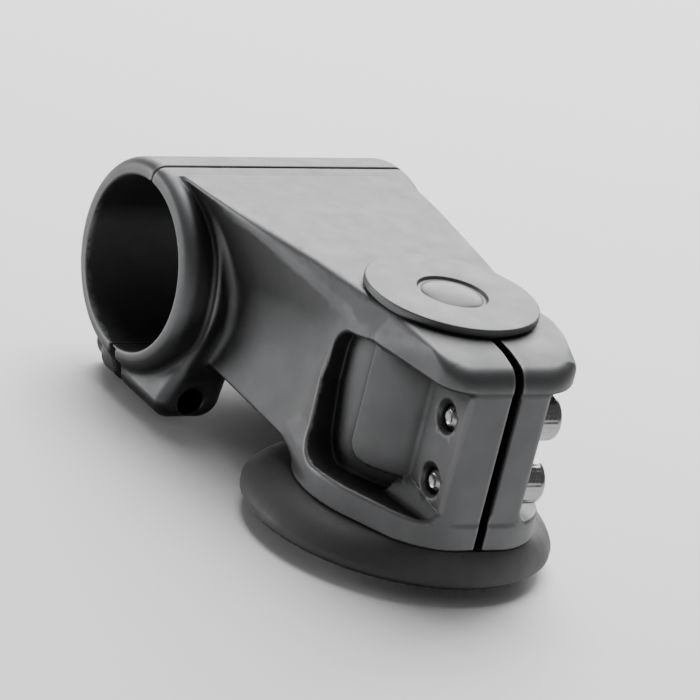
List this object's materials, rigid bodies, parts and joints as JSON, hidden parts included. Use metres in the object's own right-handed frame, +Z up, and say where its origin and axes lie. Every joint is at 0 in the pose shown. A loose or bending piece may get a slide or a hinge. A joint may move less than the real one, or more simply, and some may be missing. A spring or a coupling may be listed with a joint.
{
  "type": "handlebar stem",
  "caption": "Short handlebar stem: a body clamps the steerer tube and the bar, with a bolted faceplate, side windows, pinch bolts, a preload top cap and a headset cover.",
  "frame": {"origin": "steerer axis at the stem's foot, where the body stands on the headset cover", "axes": "+Z up the steerer tube, +X forwards to the handlebar, +Y to the rider's left"},
  "size_m": [0.1073, 0.0562, 0.0479],
  "materials": {
    "body_alloy": "satin black anodised and bead blasted aluminium",
    "cap_alloy": "satin black anodised aluminium",
    "black_steel": "black oxide steel",
    "bright_steel": "bright stainless steel",
    "spring_steel": "zinc plated spring steel",
    "ring_alloy": "machined aluminium",
    "cover_composite": "matt glass-filled nylon",
    "plug_rubber": "smooth moulded rubber",
    "seal_rubber": "black nitrile rubber"
  },
  "bodies": {
    "stem": {"stem_body": "body_alloy", "star_nut_core": "bright_steel", "star_nut_upper_star": "spring_steel", "star_nut_lower_star": "spring_steel", "headset_cover": "cover_composite", "compression_ring": "ring_alloy", "steerer_seal": "seal_rubber", "cover_lip_seal": "seal_rubber", "micro_shim": "spring_steel"},
    "faceplate": {"faceplate": "body_alloy", "faceplate_washer_left": "black_steel", "faceplate_washer_right": "black_steel"},
    "faceplate_bolt_left": {"faceplate_bolt_left": "black_steel"},
    "faceplate_bolt_right": {"faceplate_bolt_right": "black_steel"},
    "pinch_washer_upper": {"pinch_washer_upper": "bright_steel"},
    "pinch_bolt_upper": {"pinch_bolt_upper": "bright_steel"},
    "pinch_washer_lower": {"pinch_washer_lower": "bright_steel"},
    "pinch_bolt_lower": {"pinch_bolt_lower": "bright_steel"},
    "top_cap": {"top_cap": "cap_alloy", "top_cap_o_ring": "seal_rubber"},
    "top_cap_bolt": {"top_cap_bolt": "black_steel"},
    "bolt_plug": {"bolt_plug": "plug_rubber"}
  },
  "joints": [
    {"name": "faceplate_slide", "type": "slide", "parent": "stem", "child": "faceplate", "axis": [1, 0, 0], "range_m": [0, 0.012]},
    {"name": "faceplate_bolt_left_turn", "type": "hinge", "parent": "faceplate", "child": "faceplate_bolt_left", "pos_m": [0.07, 0.018, -0.005], "axis": [1, 0, 0], "range_deg": [0, 5400]},
    {"name": "faceplate_bolt_right_turn", "type": "hinge", "parent": "faceplate", "child": "faceplate_bolt_right", "pos_m": [0.07, -0.018, -0.005], "axis": [1, 0, 0], "range_deg": [0, 5400]},
    {"name": "pinch_upper_slide", "type": "slide", "parent": "stem", "child": "pinch_washer_upper", "axis": [0, -1, 0], "range_m": [0, 0.008]},
    {"name": "pinch_bolt_upper_turn", "type": "hinge", "parent": "pinch_washer_upper", "child": "pinch_bolt_upper", "pos_m": [-0.02, -0.01, 0.0231], "axis": [0, -1, 0], "range_deg": [0, 3600]},
    {"name": "pinch_lower_slide", "type": "slide", "parent": "stem", "child": "pinch_washer_lower", "axis": [0, -1, 0], "range_m": [0, 0.008]},
    {"name": "pinch_bolt_lower_turn", "type": "hinge", "parent": "pinch_washer_lower", "child": "pinch_bolt_lower", "pos_m": [-0.02, -0.01, 0.0109], "axis": [0, -1, 0], "range_deg": [0, 3600]},
    {"name": "top_cap_slide", "type": "slide", "parent": "stem", "child": "top_cap", "axis": [0, 0, 1], "range_m": [0, 0.013]},
    {"name": "top_cap_bolt_turn", "type": "hinge", "parent": "top_cap", "child": "top_cap_bolt", "pos_m": [0, 0, 0.034], "axis": [0, 0, 1], "range_deg": [0, 4680]},
    {"name": "bolt_plug_pull", "type": "slide", "parent": "top_cap", "child": "bolt_plug", "axis": [0, 0, 1], "range_m": [0, 0.006]}
  ],
  "couplings": [
    {"joint": "faceplate_bolt_left_turn", "follows": "faceplate_slide", "rad_per_m": 7854},
    {"joint": "faceplate_bolt_right_turn", "follows": "faceplate_slide", "rad_per_m": 7854},
    {"joint": "pinch_bolt_upper_turn", "follows": "pinch_upper_slide", "rad_per_m": 7854},
    {"joint": "pinch_bolt_lower_turn", "follows": "pinch_lower_slide", "rad_per_m": 7854},
    {"joint": "top_cap_bolt_turn", "follows": "top_cap_slide", "rad_per_m": 6283.2}
  ]
}
